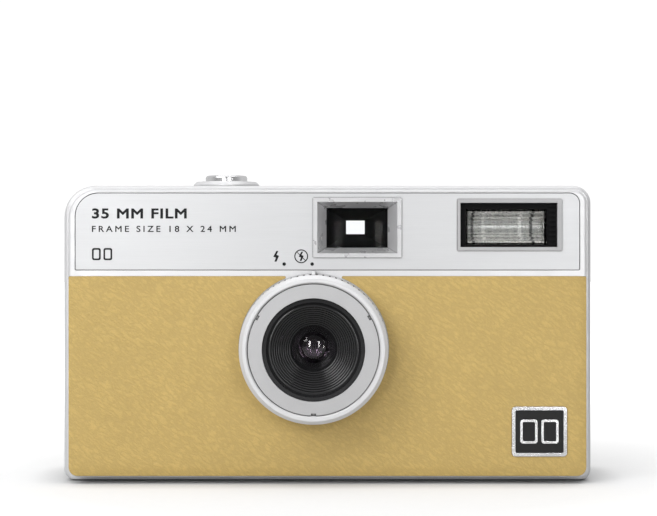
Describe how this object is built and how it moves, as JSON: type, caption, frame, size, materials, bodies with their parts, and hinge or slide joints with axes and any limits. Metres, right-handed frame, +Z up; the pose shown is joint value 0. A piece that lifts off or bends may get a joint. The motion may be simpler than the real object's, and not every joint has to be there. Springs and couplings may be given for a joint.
{
  "type": "half frame camera",
  "caption": "Compact 35 mm half frame film camera with turning flash ring, thumb wheel, hinged back and folding rewind crank, in silver and mustard leatherette.",
  "frame": {"origin": "centre of the base, in the middle of the body's width and depth", "axes": "+X to the right seen from the front, -Y out of the lens, +Z up"},
  "size_m": [0.11, 0.039, 0.064],
  "materials": {
    "silver_plastic": "satin silver paint on moulded plastic",
    "face_plate": "brushed along its length",
    "leatherette": "fine pebble grain, mustard",
    "badge_metal": "polished",
    "badge_black": "gloss",
    "black_plastic": "fine spark texture",
    "black_gloss": "semi gloss",
    "optical": "coated acrylic",
    "clear_plastic": "clear moulded",
    "steel": "bright",
    "brass": "plain",
    "reflector": "vacuum metallised",
    "board": "green laminate",
    "foam": "open cell foam",
    "amber": "translucent amber",
    "dial_white": "matt white"
  },
  "bodies": {
    "camera_body": {"front_cover": "silver_plastic", "face_plate": "face_plate", "front_leatherette": "leatherette", "badge_frame": "badge_metal", "badge_inlay": "badge_black", "lens_bezel": "silver_plastic", "lens_cone": "black_gloss", "front_lens": "optical", "rear_lens": "optical", "aperture_plate": "steel", "shutter_housing": "black_plastic", "blade_spring": "steel", "viewfinder_bezel": "silver_plastic", "viewfinder_front_lens": "optical", "viewfinder_tunnel": "black_plastic", "eyepiece_frame": "black_plastic", "viewfinder_eye_lens": "optical", "flash_bezel": "silver_plastic", "flash_holder": "black_gloss", "flash_lens": "clear_plastic", "flash_reflector": "reflector", "flash_tube": "clear_plastic", "flash_board": "board", "flash_capacitor": "black_gloss", "ready_lamp": "amber", "body_shell": "silver_plastic", "strap_bar": "steel", "button_collar": "silver_plastic", "counter_window": "clear_plastic", "case_screws": "steel", "chassis": "black_plastic", "light_box": "black_plastic", "battery_holder": "black_plastic", "light_seals": "foam", "battery_contact": "brass", "wind_pawl": "steel", "release_spring": "steel", "button_spring": "steel", "hinge_pin": "steel", "latch_spring": "steel"},
    "mode_ring": {"flash_ring": "silver_plastic"},
    "release_button": {"shutter_button": "badge_metal", "release_lever": "steel"},
    "blade": {"shutter_blade": "steel"},
    "wind_wheel": {"advance_wheel": "black_plastic", "takeup_spool": "black_plastic"},
    "film_sprocket": {"sprocket": "black_plastic"},
    "frame_counter": {"counter_dial": "dial_white"},
    "rewind": {"rewind_knob": "black_plastic", "rewind_fork": "black_plastic", "crank_pin": "steel"},
    "crank": {"crank_handle": "black_plastic"},
    "rewind_button": {"rewind_release": "black_plastic"},
    "door": {"back_door": "black_plastic", "film_window": "clear_plastic", "pressure_spring": "steel"},
    "film_pressure": {"pressure_plate": "steel"},
    "latch": {"door_latch": "black_plastic"},
    "battery_cover": {"battery_door": "black_plastic", "door_contact": "brass"}
  },
  "joints": [
    {"name": "mode_ring_turn", "type": "hinge", "parent": "camera_body", "child": "mode_ring", "pos_m": [-0.0028, -0.019, 0.028], "axis": [0, -1, 0], "range_deg": [0, 18]},
    {"name": "shutter_press", "type": "slide", "parent": "camera_body", "child": "release_button", "axis": [0, 0, -1], "range_m": [0, 0.0012], "stiffness_N_per_m": 400, "springref_m": -0.002, "deforming": ["button_spring"]},
    {"name": "blade_swing", "type": "hinge", "parent": "camera_body", "child": "blade", "pos_m": [-0.0108, -0.008, 0.032], "axis": [0, 1, 0], "range_deg": [0, 45]},
    {"name": "wind_on", "type": "hinge", "parent": "camera_body", "child": "wind_wheel", "pos_m": [-0.038, 0.002, 0.03], "axis": [0, 0, 1], "continuous": true},
    {"name": "sprocket_turn", "type": "hinge", "parent": "camera_body", "child": "film_sprocket", "pos_m": [-0.0181, 0.004, 0.03], "axis": [0, 0, 1], "continuous": true},
    {"name": "counter_turn", "type": "hinge", "parent": "camera_body", "child": "frame_counter", "pos_m": [-0.038, 0.002, 0.0575], "axis": [0, 0, 1], "continuous": true},
    {"name": "rewind_turn", "type": "hinge", "parent": "camera_body", "child": "rewind", "pos_m": [0.0382, 0.0003, 0.003], "axis": [0, 0, 1], "continuous": true},
    {"name": "crank_fold", "type": "hinge", "parent": "rewind", "child": "crank", "pos_m": [0.033, 0.0003, 0.0012], "axis": [0, 1, 0], "range_deg": [0, 105]},
    {"name": "rewind_release_press", "type": "slide", "parent": "camera_body", "child": "rewind_button", "axis": [0, 0, 1], "range_m": [0, 0.001], "stiffness_N_per_m": 300, "springref_m": -0.001, "deforming": ["release_spring"]},
    {"name": "door_swing", "type": "hinge", "parent": "camera_body", "child": "door", "pos_m": [-0.0534, 0.0134, 0.026], "axis": [0, 0, 1], "range_deg": [0, 110]},
    {"name": "pressure_slide", "type": "slide", "parent": "door", "child": "film_pressure", "axis": [0, 1, 0], "range_m": [0, 0.0005], "stiffness_N_per_m": 300, "springref_m": -0.001, "deforming": ["pressure_spring"]},
    {"name": "latch_slide", "type": "slide", "parent": "camera_body", "child": "latch", "axis": [0, 0, -1], "range_m": [0, 0.002], "stiffness_N_per_m": 300, "springref_m": -0.001, "deforming": ["latch_spring"]},
    {"name": "battery_cover_swing", "type": "hinge", "parent": "camera_body", "child": "battery_cover", "pos_m": [0.0229, -0.0025, 0.0008], "axis": [0, -1, 0], "range_deg": [0, 95]}
  ],
  "couplings": [
    {"joint": "blade_swing", "follows": "shutter_press", "rad_per_m": 583.33},
    {"joint": "sprocket_turn", "follows": "wind_on", "ratio": 0.9322},
    {"joint": "counter_turn", "follows": "wind_on", "ratio": 0.02527}
  ]
}
